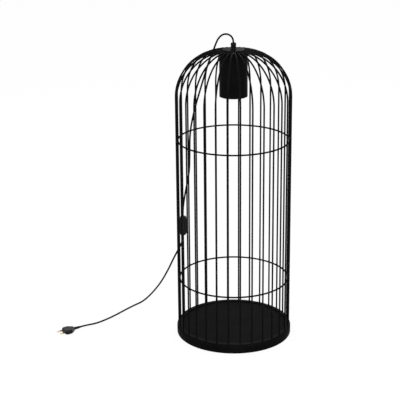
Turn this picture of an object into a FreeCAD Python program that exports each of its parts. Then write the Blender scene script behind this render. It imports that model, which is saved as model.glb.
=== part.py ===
"""Wire cage floor lamp.

A tall round cage of bent steel wires stands on a flat weighted base. The wires rise straight, bend
over in a quarter circle and meet under a small plate at the top. A metal cup hangs below that plate
and hides the lampholder and the bulb. The cord leaves a grip on top, arches over, slips into the cage
between two wires, carries an in-line rocker switch, leaves the cage low on the left and ends in a
two-pin plug on the floor.

Millimetres. +Z is up, the origin is the centre of the base on the floor, and -Y is the front.
Angles round the cage are counted from the front, positive towards the right (+X).
"""
import FreeCAD
import Part
import math
import os

Vec = FreeCAD.Vector
UP = Vec(0, 0, 1)
ORIGIN = Vec(0, 0, 0)

# ---------------------------------------------------------------- driving dimensions
# cage
wire_count = 30
wire_diameter = 5.0
cage_outer_radius = 175.0
first_wire_angle = 7.0
shoulder_height = 757.5
ring_wire_diameter = 5.0
lower_ring_height = 181.5
upper_ring_height = 625.5
weld_gap = 0.05
foot_ring_width = 12.0
foot_ring_thickness = 3.0
foot_screw_count = 6
foot_screw_radius = 2.0
foot_screw_head_height = 2.6
foot_screw_edge = 1.0
foot_screw_depth = 2.5

# base
base_margin = 3.4
base_top_height = 26.0
base_skin = 1.5
base_edge_radius = 4.0
pad_thickness = 1.5
pad_radius = 11.0
pad_count = 6
pad_inset = 28.4
plate_thickness = 2.0
plate_clearance = 0.3
plate_screw_radius = 2.5
plate_screw_reach = 8.0
weight_thickness = 6.0
weight_clearance = 8.9
pillar_radius = 7.0
pillar_count = 4
pillar_inset = 58.0
pillar_hole_depth = 10.0

# top plate, nipple and cord grip
hub_radius = 33.5
hub_thickness = 2.5
hub_edge_radius = 1.5
wire_weld_length = 5.5
crown_inset = 0.5
nipple_radius = 5.0
nipple_bore_radius = 3.3
nipple_in_grip = 9.0
nipple_in_holder = 9.0
fit_clearance = 0.15
washer_radius = 10.0
washer_thickness = 1.2
nut_across_flats = 17.0
nut_thickness = 4.0
grip_height = 19.0
grip_foot_radius = 7.4
grip_top_radius = 8.3
grip_flange_width = 1.0
grip_flange_height = 1.5
grip_rim_radius = 2.0
grip_screw_radius = 2.0
grip_screw_drop = 5.0
grip_screw_recess = 0.4
grip_slot_width = 0.7
grip_slot_depth = 1.0

# cup and lampholder
cup_radius = 42.3
cup_length = 128.5
cup_wall = 1.2
cup_corner_radius = 5.0
collar_height = 5.3
collar_radius = 7.5
holder_radius = 20.5
holder_wall = 2.4
holder_cap_height = 21.0
holder_body_height = 33.0
holder_overlap = 6.0
holder_neck_wall = 4.0
holder_neck_height = 7.0
holder_shoulder_radius = 7.0
holder_ceiling = 2.0
holder_lip = 1.0
groove_count = 3
groove_start = 6.0
groove_pitch = 4.0
groove_width = 1.6
groove_depth = 0.8
insulator_thickness = 8.0
insulator_drop = 2.0
insulator_hole_radius = 1.6
shell_length = 21.0
shell_wall = 0.45
shell_gap = 0.4
contact_length = 10.0
contact_width = 5.0
contact_sheet = 0.5
contact_drop = 3.4
contact_gap = 0.2
rivet_radius = 1.4
rivet_proud = 0.3
terminal_offset = 8.0
terminal_hole_radius = 1.3
terminal_hole_depth = 5.0
terminal_stand_off = 1.0
terminal_head_radius = 2.4
terminal_head_height = 1.6
terminal_shank_radius = 1.2
terminal_shank_depth = 4.0
terminal_slot_length = 6.0
terminal_slot_width = 0.7
terminal_slot_depth = 0.8

# bulb (E27 cap: 26.2 mm over the thread, 24.2 mm at its roots, 3.6 mm pitch)
bulb_radius = 27.5
bulb_length = 95.0
bulb_neck_radius = 13.4
bulb_wall = 1.0
bulb_shoulder_angle = 38.0
bulb_waist_draw = 1.2
thread_crest_radius = 13.1
thread_root_radius = 12.1
thread_pitch = 3.6
thread_turn_count = 4
thread_clearance = 0.2
cap_shoulder = 5.4
cap_wall = 0.5
cap_skirt = 3.0
cap_rim = 1.0
bead_radius = 8.5
bead_edge = 0.8
tip_radius = 4.6
tip_crown = 1.15
tip_height = 1.6
tip_stem_step = 1.65
joint_clearance = 0.05
cut_margin = 0.5

# cord
cord_diameter = 5.4
cord_clearance = 0.15
cord_plane_angle = -95.0
lead_diameter = 1.8
lead_spacing = 2.6
lead_drop = 2.5
tail_reach = 2.0

# in-line switch
switch_length = 60.0
switch_width = 25.0
switch_end_width = 13.0
switch_straight = 34.0
switch_thickness = 17.0
switch_wall = 1.8
switch_edge_radius = 2.5
switch_end_bulge = 0.8
switch_radius_on_cage = 157.0
switch_bottom_height = 316.0
cord_grip_in_switch = 7.0
rocker_length = 19.0
rocker_width = 11.0
rocker_valley = 1.5
rocker_shoulder = 2.0
rocker_nose = 3.0
rocker_side_gap = 0.2
rocker_end_gap = 0.4
rocker_proud = 2.6
rocker_tilt = 7.0
rocker_pin_radius = 1.2
rocker_pin_reach = 2.0
rocker_pin_inset = 2.2
rocker_clearance = 0.3
pivot_hole_reach = 3.0
ear_thickness = 2.0
ear_depth = 4.0
ear_height = 5.0
switch_screw_radius = 1.4
switch_screw_head_radius = 2.4
switch_screw_head_height = 1.6
switch_screw_sink = 2.0
switch_screw_inset = 5.0
switch_screw_setback = 3.0
switch_screw_reach = 4.5
boss_radius = 2.6
boss_gap = 0.5
terminal_block = 5.0
terminal_block_width = 7.0
terminal_block_offset = 15.0
block_screw_radius = 1.5
block_screw_height = 1.8

# plug
plug_length = 36.0
plug_width = 35.0
plug_thickness = 13.7
plug_neck_width = 11.0
plug_shoulder = 15.0
plug_corner_length = 6.0
plug_corner_width = 5.0
plug_edge_radius = 2.0
plug_tail_length = 22.0
tail_start_wall = 0.8
tail_end_radius = 5.0
tail_slot_count = 4
tail_slot_start = 4.0
tail_slot_pitch = 4.5
tail_slot_width = 1.2
tail_core_wall = 0.5
tail_core_growth = 0.35
pin_radius = 2.0
pin_length = 19.0
pin_spacing = 18.6
pin_root_length = 8.0
pin_tip_fillet = 1.2
pin_neck_step = 0.6
pin_bore_gap = 0.02
pin_sleeve_length = 10.0
pin_sleeve_step = 0.1

# ---------------------------------------------------------------- sizes that follow
wire_radius = wire_diameter / 2
cord_radius = cord_diameter / 2
wire_circle_radius = cage_outer_radius - wire_radius
wire_end_radius = hub_radius - wire_weld_length
crown_radius = hub_radius - crown_inset
bend_radius = wire_circle_radius - crown_radius
wire_top = shoulder_height + bend_radius
hub_bottom = wire_top + wire_radius
hub_top = hub_bottom + hub_thickness
washer_bottom = hub_bottom - washer_thickness
nut_bottom = washer_bottom - nut_thickness
cup_top = nut_bottom - collar_height
cup_bottom = cup_top - cup_length
holder_top = cup_top - cup_wall
holder_cap_bottom = holder_top - holder_cap_height
holder_bottom = holder_cap_bottom + holder_overlap - holder_body_height
insulator_top = holder_cap_bottom + holder_overlap - insulator_drop
insulator_bottom = insulator_top - insulator_thickness
nipple_bore = nipple_radius + fit_clearance
nipple_bottom = holder_top - nipple_in_holder
nipple_top = hub_top + nipple_in_grip
grip_top = hub_top + grip_height
grip_screw_height = grip_top - grip_screw_drop
cord_bore = cord_radius + cord_clearance

foot_ring_top = base_top_height + foot_ring_thickness
foot_hole_circle = cage_outer_radius - foot_ring_width + wire_radius
base_radius = cage_outer_radius + base_margin
skin_bottom = base_top_height - base_skin
plate_top = pad_thickness + plate_thickness
weight_radius = base_radius - base_skin - weight_clearance
weight_top = plate_top + weight_thickness
pad_circle_radius = base_radius - pad_inset
pillar_circle_radius = weight_radius - pillar_inset
first_pillar_angle = 180.0 / pillar_count

shell_inner_crest = thread_crest_radius + thread_clearance
shell_inner_root = thread_root_radius + thread_clearance
shell_outer_radius = shell_inner_crest + shell_wall
holder_bore = shell_outer_radius + shell_gap
bulb_tip = insulator_bottom - contact_drop - contact_gap
bulb_bottom = bulb_tip - bulb_length
bulb_thread_top = bulb_tip - cap_shoulder
bulb_cap_bottom = bulb_thread_top - thread_turn_count * thread_pitch - cap_skirt
shell_thread_top = bulb_thread_top + thread_pitch
tail_bottom = nipple_bottom - tail_reach

switch_top_height = switch_bottom_height + switch_length
switch_middle_height = switch_bottom_height + switch_length / 2
switch_depth = switch_thickness / 2
rocker_pivot_y = -switch_depth + rocker_pin_inset
terminal_block_y = switch_depth - switch_wall - terminal_block
pin_face = plug_tail_length + plug_length
pin_neck_radius = pin_radius - pin_neck_step


# ---------------------------------------------------------------- shared helpers
def outline(start, *steps):
    """Edges from start: a pair is the end of a line, two pairs are a point on an arc and its end."""
    edges, here = [], Vec(start[0], 0, start[1])
    for step in steps:
        if isinstance(step[0], tuple):
            middle, end = (Vec(p[0], 0, p[1]) for p in step)
            edges.append(Part.Arc(here, middle, end).toShape())
        else:
            end = Vec(step[0], 0, step[1])
            edges.append(Part.LineSegment(here, end).toShape())
        here = end
    first = Vec(start[0], 0, start[1])
    if here.distanceToPoint(first) > 1e-6:
        edges.append(Part.LineSegment(here, first).toShape())
    return edges


def turned(start, *steps):
    """A solid of revolution about Z from a half section of (radius, height) points."""
    face = Part.Face(Part.Wire(outline(start, *steps)))
    return face.revolve(ORIGIN, UP, 360)


def disc(radius, bottom, top, bore=0.0):
    """A flat disc or ring between two heights."""
    solid = Part.makeCylinder(radius, top - bottom, Vec(0, 0, bottom))
    if bore:
        solid = solid.cut(Part.makeCylinder(bore, top - bottom, Vec(0, 0, bottom)))
    return solid


def at_angle(shape, angle):
    """The shape turned round the lamp's axis: angle 0 is the front, positive to the right."""
    copy = shape.copy()
    copy.rotate(ORIGIN, UP, angle)
    return copy


def round_the_axis(shape, count, first=0.0):
    """Equal copies of a shape round the axis."""
    return [at_angle(shape, first + 360.0 * n / count) for n in range(count)]


def cut_each(solid, holes):
    """The solid with every hole cut from it."""
    for hole in holes:
        solid = solid.cut(hole)
    return solid


def front(radius, height):
    """A point at that distance from the axis, straight to the front."""
    return Vec(0, -radius, height)


def corner_arc(radius, centre_r, centre_z, angle):
    """The point of a corner arc at an angle in degrees, as (radius, height)."""
    a = math.radians(angle)
    return (centre_r + radius * math.cos(a), centre_z + radius * math.sin(a))


def hexagon(across_flats, bottom, top):
    """A hexagonal prism about Z."""
    reach = across_flats / 2 / math.cos(math.radians(30))
    points = [Vec(reach * math.cos(math.radians(60 * n)), reach * math.sin(math.radians(60 * n)), bottom)
              for n in range(6)]
    return Part.Face(Part.makePolygon(points + points[:1])).extrude(Vec(0, 0, top - bottom))


def tube_along(edges, radius):
    """A round bar swept along tangent edges."""
    path = Part.Wire(edges)
    start = path.Edges[0].valueAt(path.Edges[0].FirstParameter)
    heading = path.Edges[0].tangentAt(path.Edges[0].FirstParameter)
    section = Part.Wire(Part.makeCircle(radius, start, heading))
    return path.makePipeShell([section], True, False)


def export(name, *solids):
    """Writes one node: a single solid, or a group of separate solids."""
    shape = solids[0] if len(solids) == 1 else Part.makeCompound(list(solids))
    shape.exportStep(os.path.join("parts", name + ".step"))


# ---------------------------------------------------------------- cage
def cage_wire():
    """One wire, at the front: straight up, a quarter bend, and a short run under the top plate."""
    foot = front(wire_circle_radius, foot_ring_top)
    shoulder = front(wire_circle_radius, shoulder_height)
    lean = bend_radius * (1 - math.sqrt(0.5))
    middle = front(wire_circle_radius - lean, shoulder_height + bend_radius * math.sqrt(0.5))
    crown = front(crown_radius, wire_top)
    end = front(wire_end_radius, wire_top)
    path = [Part.LineSegment(foot, shoulder).toShape(),
            Part.Arc(shoulder, middle, crown).toShape(),
            Part.LineSegment(crown, end).toShape()]
    return tube_along(path, wire_radius)


def cage_ring(height):
    """A hoop of round wire welded inside the uprights."""
    ring_wire_radius = ring_wire_diameter / 2
    radius = wire_circle_radius - wire_radius - ring_wire_radius - weld_gap
    return Part.makeTorus(radius, ring_wire_radius, Vec(0, 0, height))


def foot_screw_hole(bottom, top):
    """The hole of a foot screw, to be cut from the foot ring or the base."""
    return Part.makeCylinder(foot_screw_radius + fit_clearance, top - bottom, front(foot_hole_circle, bottom))


def foot_ring():
    """The flat ring that the wires stand on, with a tapped hole for each screw from the base."""
    ring = disc(cage_outer_radius, base_top_height, foot_ring_top, cage_outer_radius - foot_ring_width)
    return cut_each(ring, round_the_axis(foot_screw_hole(base_top_height, foot_ring_top), foot_screw_count))


def foot_screw():
    """A pan head screw from inside the base up into the foot ring."""
    shank = Part.makeCylinder(foot_screw_radius, base_skin + foot_screw_depth,
                              front(foot_hole_circle, skin_bottom))
    head_bottom = skin_bottom - foot_screw_head_height
    head = Part.makeCylinder(foot_screw_radius * 2, foot_screw_head_height,
                             front(foot_hole_circle, head_bottom))
    rim = [e for e in head.Edges if e.BoundBox.ZMax < head_bottom + 1e-3]
    return shank.fuse(head.makeFillet(foot_screw_edge, rim)).removeSplitter()


# ---------------------------------------------------------------- base
def base_cover():
    """The pressed steel pan: a flat top with a rounded edge and a straight skirt."""
    inner = base_radius - base_skin
    edge = base_radius - base_edge_radius
    edge_z = base_top_height - base_edge_radius
    inside = base_edge_radius - base_skin
    pan = turned((0, skin_bottom), (edge, skin_bottom),
                 (corner_arc(inside, edge, edge_z, 45), (inner, edge_z)),
                 (inner, pad_thickness), (base_radius, pad_thickness), (base_radius, edge_z),
                 (corner_arc(base_edge_radius, edge, edge_z, 45), (edge, base_top_height)),
                 (0, base_top_height))
    return cut_each(pan, round_the_axis(foot_screw_hole(skin_bottom, base_top_height), foot_screw_count))


def at_each_pillar(shape):
    """Copies of a shape, made at the front, on the circle of the pillars."""
    return round_the_axis(shape, pillar_count, first_pillar_angle)


def plate_screw_hole(bottom, top):
    """The hole of a base screw, to be cut from the weight or a pillar."""
    return Part.makeCylinder(plate_screw_radius + fit_clearance, top - bottom,
                             front(pillar_circle_radius, bottom))


def plate_screw():
    """A countersunk screw through the bottom plate and the weight into a pillar."""
    cone = Part.makeCone(plate_screw_radius * 2, plate_screw_radius, plate_thickness,
                         front(pillar_circle_radius, pad_thickness))
    shank = Part.makeCylinder(plate_screw_radius, weight_thickness + plate_screw_reach,
                              front(pillar_circle_radius, plate_top))
    return cone.fuse(shank).removeSplitter()


def bottom_plate():
    """The steel plate that closes the base, countersunk for its screws."""
    plate = disc(base_radius - base_skin - plate_clearance, pad_thickness, plate_top)
    sink = Part.makeCone(plate_screw_radius * 2 + fit_clearance, plate_screw_radius + fit_clearance,
                         plate_thickness, front(pillar_circle_radius, pad_thickness))
    return cut_each(plate, at_each_pillar(sink))


def base_weight():
    """The loose steel disc that steadies the lamp, clamped between the plate and the pillars."""
    weight = disc(weight_radius, plate_top, weight_top)
    return cut_each(weight, at_each_pillar(plate_screw_hole(plate_top, weight_top)))


def pillar():
    """A threaded post welded under the top of the base."""
    post = Part.makeCylinder(pillar_radius, skin_bottom - weight_top, front(pillar_circle_radius, weight_top))
    return post.cut(plate_screw_hole(weight_top, weight_top + pillar_hole_depth))


def pad():
    """A felt pad, the only thing that touches the floor."""
    return Part.makeCylinder(pad_radius, pad_thickness, front(pad_circle_radius, 0))


# ---------------------------------------------------------------- top plate and hanging stack
def hub_plate():
    """The round plate that the wires are welded under, with the nipple's hole."""
    flat = hub_radius - hub_edge_radius
    edge_z = hub_top - hub_edge_radius
    return turned((nipple_bore, hub_bottom), (hub_radius, hub_bottom), (hub_radius, edge_z),
                  (corner_arc(hub_edge_radius, flat, edge_z, 45), (flat, hub_top)), (nipple_bore, hub_top))


def hub_nut():
    """The hexagonal nut that holds the nipple to the top plate."""
    bore = disc(nipple_bore, nut_bottom, washer_bottom)
    return hexagon(nut_across_flats, nut_bottom, washer_bottom).cut(bore)


def nipple():
    """The threaded tube that carries the cup and the lampholder."""
    return disc(nipple_radius, nipple_bottom, nipple_top, nipple_bore_radius)


def cord_grip():
    """The moulded grip on top: flared, with a rounded rim, a stepped bore and a side screw hole."""
    flange = grip_foot_radius + grip_flange_width
    flange_top = hub_top + grip_flange_height
    rim_r, rim_z = grip_top_radius - grip_rim_radius, grip_top - grip_rim_radius
    body = turned((nipple_bore, hub_top), (flange, hub_top), (flange, flange_top),
                  (grip_foot_radius, flange_top + grip_flange_width), (grip_top_radius, grip_screw_height),
                  (grip_top_radius, rim_z),
                  (corner_arc(grip_rim_radius, rim_r, rim_z, 45), (rim_r, grip_top)),
                  (cord_bore, grip_top), (cord_bore, nipple_top), (nipple_bore, nipple_top))
    hole = Part.makeCylinder(grip_screw_radius, grip_top_radius, Vec(0, 0, grip_screw_height), Vec(1, 0, 0))
    return body.cut(hole)


def grip_screw():
    """The nylon screw that pinches the cord, slotted, just below the side of the grip."""
    length = grip_top_radius - cord_bore - grip_screw_recess
    screw = Part.makeCylinder(grip_screw_radius - joint_clearance, length,
                              Vec(cord_bore, 0, grip_screw_height), Vec(1, 0, 0))
    slot = Part.makeBox(grip_slot_depth, grip_screw_radius * 4, grip_slot_width,
                        Vec(cord_bore + length + grip_screw_recess - grip_slot_depth, -grip_screw_radius * 2,
                            grip_screw_height - grip_slot_width / 2))
    return screw.cut(slot)


def cup():
    """The spun metal cup: closed above, open below, with a rounded top corner."""
    inner = cup_radius - cup_wall
    corner_r, corner_z = cup_radius - cup_corner_radius, cup_top - cup_corner_radius
    return turned((nipple_bore, cup_top), (corner_r, cup_top),
                  (corner_arc(cup_corner_radius, corner_r, corner_z, 45), (cup_radius, corner_z)),
                  (cup_radius, cup_bottom), (inner, cup_bottom), (inner, corner_z),
                  (corner_arc(cup_corner_radius - cup_wall, corner_r, corner_z, 45), (corner_r, holder_top)),
                  (nipple_bore, holder_top))


# ---------------------------------------------------------------- lampholder
def holder_cap():
    """The upper half of the lampholder: a threaded neck, a shoulder and a skirt."""
    neck = nipple_radius + holder_neck_wall
    inner = holder_radius - holder_wall
    shoulder_z = holder_top - holder_neck_height
    arc_r, arc_z = holder_radius - holder_shoulder_radius, shoulder_z - holder_shoulder_radius
    ceiling_z = shoulder_z - holder_ceiling
    slope = holder_shoulder_radius - holder_lip
    return turned((nipple_bore, holder_top), (neck, holder_top), (neck, shoulder_z + holder_ceiling),
                  (corner_arc(holder_shoulder_radius, arc_r, arc_z, 60), (holder_radius, arc_z)),
                  (holder_radius, holder_cap_bottom), (inner, holder_cap_bottom),
                  (inner, shoulder_z - slope), (inner - slope, ceiling_z), (nipple_bore, ceiling_z))


def holder_body():
    """The lower half: its top screws into the cap, its grooved skirt surrounds the screw shell."""
    top = holder_cap_bottom + holder_overlap
    joint = holder_radius - holder_wall - fit_clearance
    skirt = turned((holder_bore, holder_bottom), (holder_radius - holder_lip, holder_bottom),
                   (holder_radius, holder_bottom + holder_lip), (holder_radius, holder_cap_bottom),
                   (joint, holder_cap_bottom), (joint, top), (holder_bore, top))
    for n in range(groove_count):
        z = holder_bottom + groove_start + groove_pitch * n
        skirt = skirt.cut(disc(holder_radius + holder_lip, z, z + groove_width, holder_radius - groove_depth))
    return skirt


def insulator():
    """The ceramic core: it carries the shell and the centre contact below, the terminals above."""
    core = disc(holder_bore - joint_clearance * 2, insulator_bottom, insulator_top, insulator_hole_radius)
    for x in (-terminal_offset, terminal_offset):
        hole_bottom = Vec(x, 0, insulator_top - terminal_hole_depth)
        core = core.cut(Part.makeCylinder(terminal_hole_radius, terminal_hole_depth, hole_bottom))
    return core


def thread_line(crest, root, top, down):
    """The zigzag of a rolled thread from its top downwards, as (radius, height) points."""
    flank_start, crest_start, crest_end, flank_end = 0.2, 0.45, 0.7, 0.95
    points = []
    for n in range(thread_turn_count):
        z = top - n * thread_pitch
        points += [(root, z), (root, z - thread_pitch * flank_start), (crest, z - thread_pitch * crest_start),
                   (crest, z - thread_pitch * crest_end), (root, z - thread_pitch * flank_end)]
    return points if down else points[::-1]


def screw_shell():
    """The brass shell with its rolled thread, fixed under the insulator."""
    root, crest = shell_inner_root, shell_inner_crest
    inside = thread_line(crest, root, shell_thread_top, True)
    outside = thread_line(crest + shell_wall, root + shell_wall, shell_thread_top, False)
    low = insulator_bottom - shell_length
    return turned((root, insulator_bottom), *inside, (crest, low), (crest + shell_wall, low), *outside,
                  (root + shell_wall, insulator_bottom))


def centre_contact():
    """The sprung strip under the insulator that meets the bulb's tip, with its rivet."""
    half_length, half_width = contact_length / 2, contact_width / 2
    tongue_bottom = insulator_bottom - contact_drop
    flat = Part.makeBox(contact_length, contact_width, contact_sheet,
                        Vec(-half_length, -half_width, insulator_bottom - contact_sheet))
    leg = Part.makeBox(contact_sheet, contact_width, contact_drop - contact_sheet * 2,
                       Vec(half_length - contact_sheet, -half_width, tongue_bottom + contact_sheet))
    tongue = Part.makeBox(contact_length - contact_sheet, contact_width, contact_sheet,
                          Vec(contact_sheet - half_length, -half_width, tongue_bottom))
    rivet = Part.makeCylinder(rivet_radius, insulator_thickness + rivet_proud * 2,
                              Vec(0, 0, insulator_bottom - rivet_proud))
    return flat.fuse([leg, tongue, rivet]).removeSplitter()


def terminal_screw(side):
    """A slotted brass screw that clamps one lead to the insulator."""
    x = side * terminal_offset
    head_bottom = insulator_top + terminal_stand_off
    shank_bottom = insulator_top - terminal_shank_depth
    head = Part.makeCylinder(terminal_head_radius, terminal_head_height, Vec(x, 0, head_bottom))
    shank = Part.makeCylinder(terminal_shank_radius, head_bottom - shank_bottom, Vec(x, 0, shank_bottom))
    slot_bottom = head_bottom + terminal_head_height - terminal_slot_depth
    slot = Part.makeBox(terminal_slot_length, terminal_slot_width, terminal_slot_depth,
                        Vec(x - terminal_slot_length / 2, -terminal_slot_width / 2, slot_bottom))
    return head.fuse(shank).removeSplitter().cut(slot)


def cord_tail():
    """The end of the cord inside the grip and the nipple."""
    return Part.makeCylinder(cord_radius, grip_top - tail_bottom, Vec(0, 0, tail_bottom))


def lead(side):
    """An insulated lead from the cord's end to a terminal screw."""
    radius = lead_diameter / 2
    half = side * lead_spacing / 2
    start = Vec(half, 0, tail_bottom)
    knee = Vec(half, 0, tail_bottom - lead_drop)
    end_x = terminal_offset - terminal_head_radius - terminal_shank_radius
    end = Vec(side * end_x, 0, insulator_top + radius + thread_clearance)
    return tube_along(rounded([start, knee, end]), radius)


# ---------------------------------------------------------------- bulb
def bulb_cap():
    """The rolled metal cap, one thin wall, its thread in step with the shell's."""
    low, top = bulb_cap_bottom, bulb_thread_top + cap_rim
    inner = thread_root_radius - cap_wall
    outside = thread_line(thread_crest_radius, thread_root_radius, bulb_thread_top, True)
    return turned((bead_radius, top), *outside, (thread_crest_radius, low),
                  (thread_crest_radius - cap_wall, low), (inner, low + cap_skirt),
                  (inner, bulb_thread_top - cap_wall), (bead_radius, top - cap_wall))


def bulb_insulator():
    """The dark glass bead between the cap and the tip."""
    low, high = bulb_thread_top + cap_rim / 2, bulb_tip - tip_height
    bore, side = tip_radius - tip_height, bead_radius - joint_clearance
    return turned((bore, low), (side, low), (side, low + bead_edge), (tip_radius, high), (bore, high))


def bulb_contact():
    """The soldered tip, a low dome on a short stem through the bead."""
    low, rim = bulb_thread_top + cap_rim / 2, bulb_tip - tip_height + joint_clearance
    stem = tip_radius - tip_stem_step
    ball = (tip_radius ** 2 + tip_crown ** 2) / (2 * tip_crown)
    half = math.degrees(math.asin(tip_radius / ball)) / 2
    return turned((0, low), (stem, low), (stem, rim), (tip_radius, rim), (tip_radius, bulb_tip - tip_crown),
                  (corner_arc(ball, 0, bulb_tip - ball, 90 - half), (0, bulb_tip)))


def bulb_glass():
    """The opal envelope: a ball that runs into a narrow neck."""
    below = -26.0
    inside = bulb_radius - bulb_wall
    centre_z = bulb_bottom + bulb_radius
    neck_top = bulb_cap_bottom - joint_clearance
    join_r, join_z = corner_arc(bulb_radius, 0, centre_z, bulb_shoulder_angle)
    inner_r, inner_z = corner_arc(inside, 0, centre_z, bulb_shoulder_angle)
    waist_r = (join_r + bulb_neck_radius) / 2 - bulb_waist_draw
    waist_z = (join_z + neck_top) / 2
    inner_waist = (waist_r - bulb_wall, waist_z - bulb_wall * 0.4)
    return turned((0, bulb_bottom), (corner_arc(bulb_radius, 0, centre_z, below), (join_r, join_z)),
                  ((waist_r, waist_z), (bulb_neck_radius, neck_top)),
                  (bulb_neck_radius - bulb_wall, neck_top), (inner_waist, (inner_r, inner_z)),
                  (corner_arc(inside, 0, centre_z, below), (0, bulb_bottom + bulb_wall)))


# ---------------------------------------------------------------- cord
def rounded(points):
    """Straight runs through the points, joined by tangent arcs as large as the runs allow."""
    share = 0.45
    edges, here = [], points[0]
    for before, corner, after in zip(points, points[1:], points[2:]):
        back, ahead = before - corner, after - corner
        cut = share * min(back.Length, ahead.Length)
        enter = corner + back.normalize() * cut
        leave = corner + ahead.normalize() * cut
        bisector = (back + ahead).normalize()
        half_turn = (math.pi - back.getAngle(ahead)) / 2
        radius = cut / math.tan(half_turn)
        middle = corner + bisector * (radius / math.cos(half_turn) - radius)
        edges.append(Part.LineSegment(here, enter).toShape())
        edges.append(Part.Arc(enter, middle, leave).toShape())
        here = leave
    edges.append(Part.LineSegment(here, points[-1]).toShape())
    return edges


def arc_radii(edges):
    """The radii of a rounded route's arcs."""
    return [e.Curve.Radius for e in edges if isinstance(e.Curve, Part.Circle)]


def in_cord_plane(pairs):
    """Points in the upright plane through the axis where the cord runs, from (distance, height)."""
    a = math.radians(cord_plane_angle)
    return [Vec(d * math.sin(a), -d * math.cos(a), z) for d, z in pairs]


# The arch over the top, the way in between two wires, and the slack drop to the switch.
cord_lead_in = 8.0
upper_route = in_cord_plane([
    (0, grip_top), (0.7, 931.8), (8.0, 942.3), (20.5, 947.5), (34.5, 944.0), (46.0, 931.5), (53.5, 913.5),
    (62.5, 889.5), (76.0, 855.0), (90.5, 808.0), (107.0, 753.0), (122.5, 697.0), (132.5, 640.0),
    (133.6, 581.0), (135.0, 522.0), (146.0, 467.0), (153.8, 424.0), (156.6, 397.5),
    (switch_radius_on_cage, switch_top_height + cord_lead_in),
    (switch_radius_on_cage, switch_top_height - cord_grip_in_switch)])

# Out of the cage low on the left, down and back to the floor, then forward along it to the plug.
floor_level = cord_radius + 0.1
plug_tail_end = Vec(-489.0, 0.0, plug_thickness / 2)
plug_heading = Vec(-0.80, -0.60, 0)
lower_route = in_cord_plane([
    (switch_radius_on_cage, switch_bottom_height + cord_grip_in_switch),
    (switch_radius_on_cage, switch_bottom_height - cord_lead_in), (160.5, 291.5), (170.5, 270.0)]) + [
    Vec(-185.0, 22.0, 240.0), Vec(-207.0, 52.0, 184.0), Vec(-233.0, 95.0, 124.0), Vec(-258.0, 140.0, 76.0),
    Vec(-284.0, 185.0, 32.0), Vec(-306.0, 200.0, 8.0), Vec(-330.0, 184.0, floor_level),
    Vec(-354.0, 150.0, floor_level), Vec(-380.0, 110.0, floor_level), Vec(-408.0, 72.0, floor_level),
    Vec(-440.0, 37.0, floor_level), plug_tail_end - plug_heading * 20.0, plug_tail_end]


# ---------------------------------------------------------------- switch, upright, front to -Y
def switch_frame(shape):
    """Moves a piece from the switch's own frame, centred on its middle, to its place on the cord."""
    copy = shape.copy()
    copy.translate(Vec(-switch_radius_on_cage, 0, switch_middle_height))
    copy.rotate(ORIGIN, UP, cord_plane_angle + 90.0)
    return copy


def switch_outline(inset):
    """The switch seen from the front, inset by a wall: straight sides that draw in to the cord."""
    side, end = switch_width / 2 - inset, switch_end_width / 2 - inset
    straight, half = switch_straight / 2, switch_length / 2 - inset
    knee_x = (side + end) / 2 + switch_end_bulge
    knee_z = (straight + half) / 2 + switch_end_bulge * 2
    edges = outline((side, -straight), (side, straight), ((knee_x, knee_z), (end, half)), (-end, half),
                    ((-knee_x, knee_z), (-side, straight)), (-side, -straight),
                    ((-knee_x, -knee_z), (-end, -half)), (end, -half), ((knee_x, -knee_z), (side, -straight)))
    return Part.Face(Part.Wire(edges))


def across_switch(radius, reach):
    """A cylinder on the rocker's axis, that far past each side of the rocker."""
    half = rocker_width / 2 + reach
    return Part.makeCylinder(radius, half * 2, Vec(-half, rocker_pivot_y, 0), Vec(1, 0, 0))


def shell_half(sign):
    """One half of the housing, front (-1) or back (+1): a filleted tray, notched for the cord."""
    solid = switch_outline(0).extrude(Vec(0, sign * switch_depth, 0))
    rim = [e for e in solid.Edges if abs(e.BoundBox.YMin - sign * switch_depth) < 1e-3
           and e.BoundBox.YLength < 1e-3]
    solid = solid.makeFillet(switch_edge_radius, rim)
    solid = solid.cut(switch_outline(switch_wall).extrude(Vec(0, sign * (switch_depth - switch_wall), 0)))
    bore_length = switch_length + cut_margin * 4
    return solid.cut(Part.makeCylinder(cord_bore, bore_length, Vec(0, 0, -bore_length / 2)))


def screw_spots():
    """Where the two housing screws stand, seen from the front: opposite corners."""
    x, z = switch_width / 2 - switch_screw_inset, switch_straight / 2 - switch_screw_setback
    return [(end * x, end * z) for end in (-1, 1)]


def along_y(radius, length, x, y, z):
    """A cylinder from a point towards +Y, or towards -Y for a negative length."""
    return Part.makeCylinder(radius, abs(length), Vec(x, y, z), Vec(0, math.copysign(1, length), 0))


def back_shell():
    """The back half, with a boss and a sunk hole for each screw."""
    shell = shell_half(1)
    for x, z in screw_spots():
        shell = shell.fuse(along_y(boss_radius, switch_depth - boss_gap, x, 0, z))
        shell = shell.cut(along_y(switch_screw_radius + joint_clearance * 2, switch_depth + cut_margin * 2,
                                  x, -cut_margin, z))
        shell = shell.cut(along_y(switch_screw_head_radius + joint_clearance * 2, switch_screw_sink,
                                  x, switch_depth - switch_screw_sink, z))
    return shell.removeSplitter()


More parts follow.
